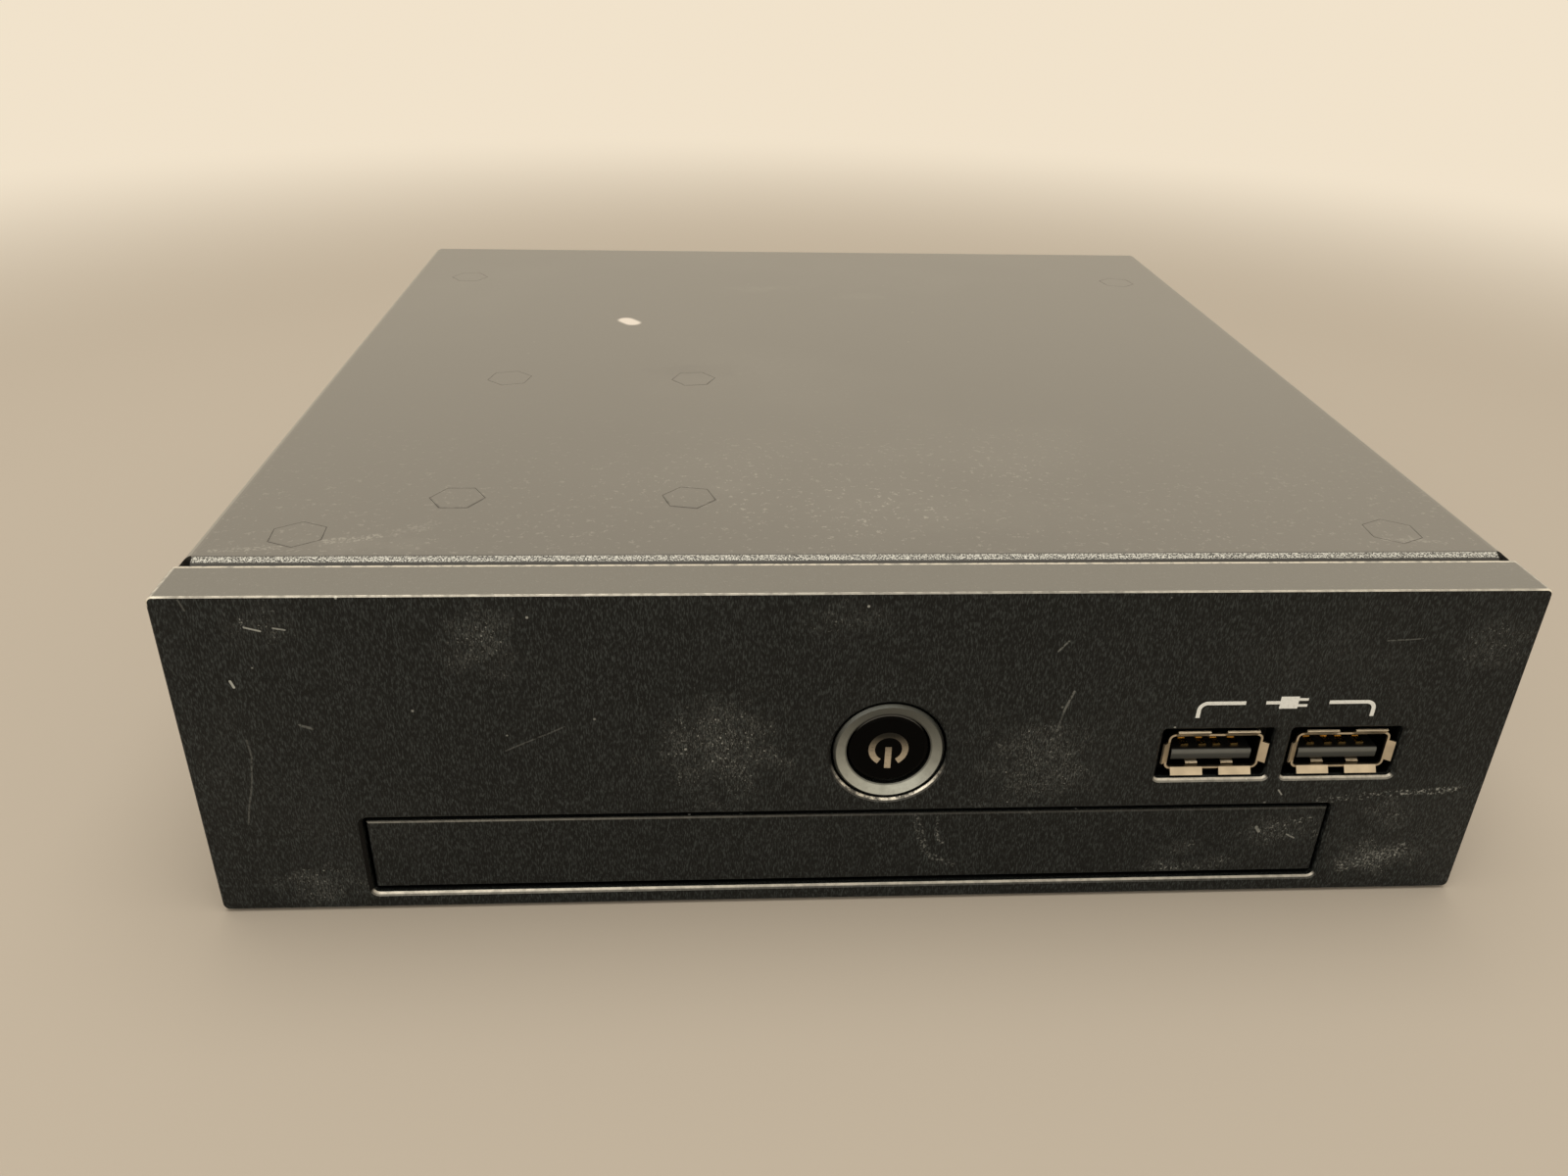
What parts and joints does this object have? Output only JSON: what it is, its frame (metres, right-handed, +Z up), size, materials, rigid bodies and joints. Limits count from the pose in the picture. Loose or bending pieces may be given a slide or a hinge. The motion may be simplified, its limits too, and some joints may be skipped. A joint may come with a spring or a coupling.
{
  "type": "media player",
  "caption": "Slim black media player: brushed front plate, round standby button, data ports and a flush motor-ejected disc tray in a folded steel case",
  "frame": {"origin": "centre of the bottom of the closed box, on the table", "axes": "+X to the right seen from the front, +Y from the front plate to the rear sockets, +Z up as pictured"},
  "size_m": [0.176, 0.1774, 0.0506],
  "materials": {
    "anodised_black": "black anodised, vertically brushed",
    "powder_black": "fine-textured black powder coat on folded steel",
    "satin_metal": "satin turned aluminium",
    "gloss_black": "polished black cap",
    "nickel": "nickel-plated stamped steel",
    "zinc_steel": "bright zinc-plated sheet steel",
    "bare_aluminium": "extruded aluminium",
    "black_plastic": "moulded black plastic",
    "grey_plastic": "moulded dark grey plastic",
    "gold_contact": "gold-plated spring contacts",
    "circuit_board": "glass-fibre board with green solder mask",
    "screw_black": "black zinc-plated steel screws",
    "lens_glass": "coated objective lens",
    "rubber_lead": "insulated leads"
  },
  "bodies": {
    "case": {"front_bezel": "anodised_black", "upper_pan": "powder_black", "lower_cover": "powder_black", "button_ring": "satin_metal", "port_shell_left": "nickel", "port_shell_right": "nickel", "data_stack": "nickel", "video_socket": "nickel", "network_socket": "nickel", "board_standoffs": "zinc_steel", "cooler_standoffs": "zinc_steel", "bezel_screws": "zinc_steel", "board_screws": "zinc_steel", "cooler_screws": "zinc_steel", "port_screws": "zinc_steel", "drive_screws": "zinc_steel", "storage_screws": "zinc_steel", "port_bracket": "zinc_steel", "drive_bracket": "zinc_steel", "drive_case": "zinc_steel", "drive_lid": "zinc_steel", "button_nut": "zinc_steel", "heat_sink": "bare_aluminium", "storage_drive": "bare_aluminium", "rail_guides": "black_plastic", "fan_frame": "black_plastic", "switch_cup": "black_plastic", "button_switch": "black_plastic", "power_inlet": "black_plastic", "memory_socket": "black_plastic", "lead_headers": "black_plastic", "port_tongues": "grey_plastic", "processor": "grey_plastic", "port_contacts": "gold_contact", "mainboard": "circuit_board", "memory_module": "circuit_board", "port_board": "circuit_board", "drive_board": "circuit_board", "cover_screws": "screw_black", "bracket_screws": "screw_black", "switch_lead": "rubber_lead", "port_lead": "rubber_lead"},
    "tray": {"disc_tray": "black_plastic", "tray_front": "anodised_black", "traverse_plate": "zinc_steel", "guide_rods": "zinc_steel", "spindle_motor": "zinc_steel", "sled_motor": "zinc_steel"},
    "rails": {"tray_rail_left": "zinc_steel", "tray_rail_right": "zinc_steel"},
    "spindle": {"spindle_hub": "satin_metal"},
    "sled": {"pickup_sled": "black_plastic", "pickup_lens": "lens_glass"},
    "worm": {"lead_screw": "zinc_steel"},
    "fan": {"fan_rotor": "black_plastic"},
    "button": {"power_button": "gloss_black"}
  },
  "joints": [
    {"name": "tray_slide", "type": "slide", "parent": "case", "child": "tray", "axis": [0, -1, 0], "range_m": [0, 0.128]},
    {"name": "rail_slide", "type": "slide", "parent": "case", "child": "rails", "axis": [0, -1, 0], "range_m": [0, 0.064]},
    {"name": "spindle_spin", "type": "hinge", "parent": "tray", "child": "spindle", "pos_m": [0, -0.02175, 0.0103], "axis": [0, 0, 1], "continuous": true},
    {"name": "sled_slide", "type": "slide", "parent": "tray", "child": "sled", "axis": [0, 1, 0], "range_m": [0, 0.035]},
    {"name": "worm_spin", "type": "hinge", "parent": "tray", "child": "worm", "pos_m": [0.016, 0.00825, 0.00635], "axis": [0, 1, 0], "range_deg": [0, 4210]},
    {"name": "fan_spin", "type": "hinge", "parent": "case", "child": "fan", "pos_m": [-0.0394, -0.03505, 0.025], "axis": [0, 0, 1], "continuous": true},
    {"name": "button_press", "type": "slide", "parent": "case", "child": "button", "axis": [0, 1, 0], "range_m": [0, 0.0008], "stiffness_N_per_m": 1500}
  ],
  "couplings": [
    {"joint": "rail_slide", "follows": "tray_slide", "ratio": 0.5},
    {"joint": "worm_spin", "follows": "sled_slide", "rad_per_m": 2094.4}
  ]
}
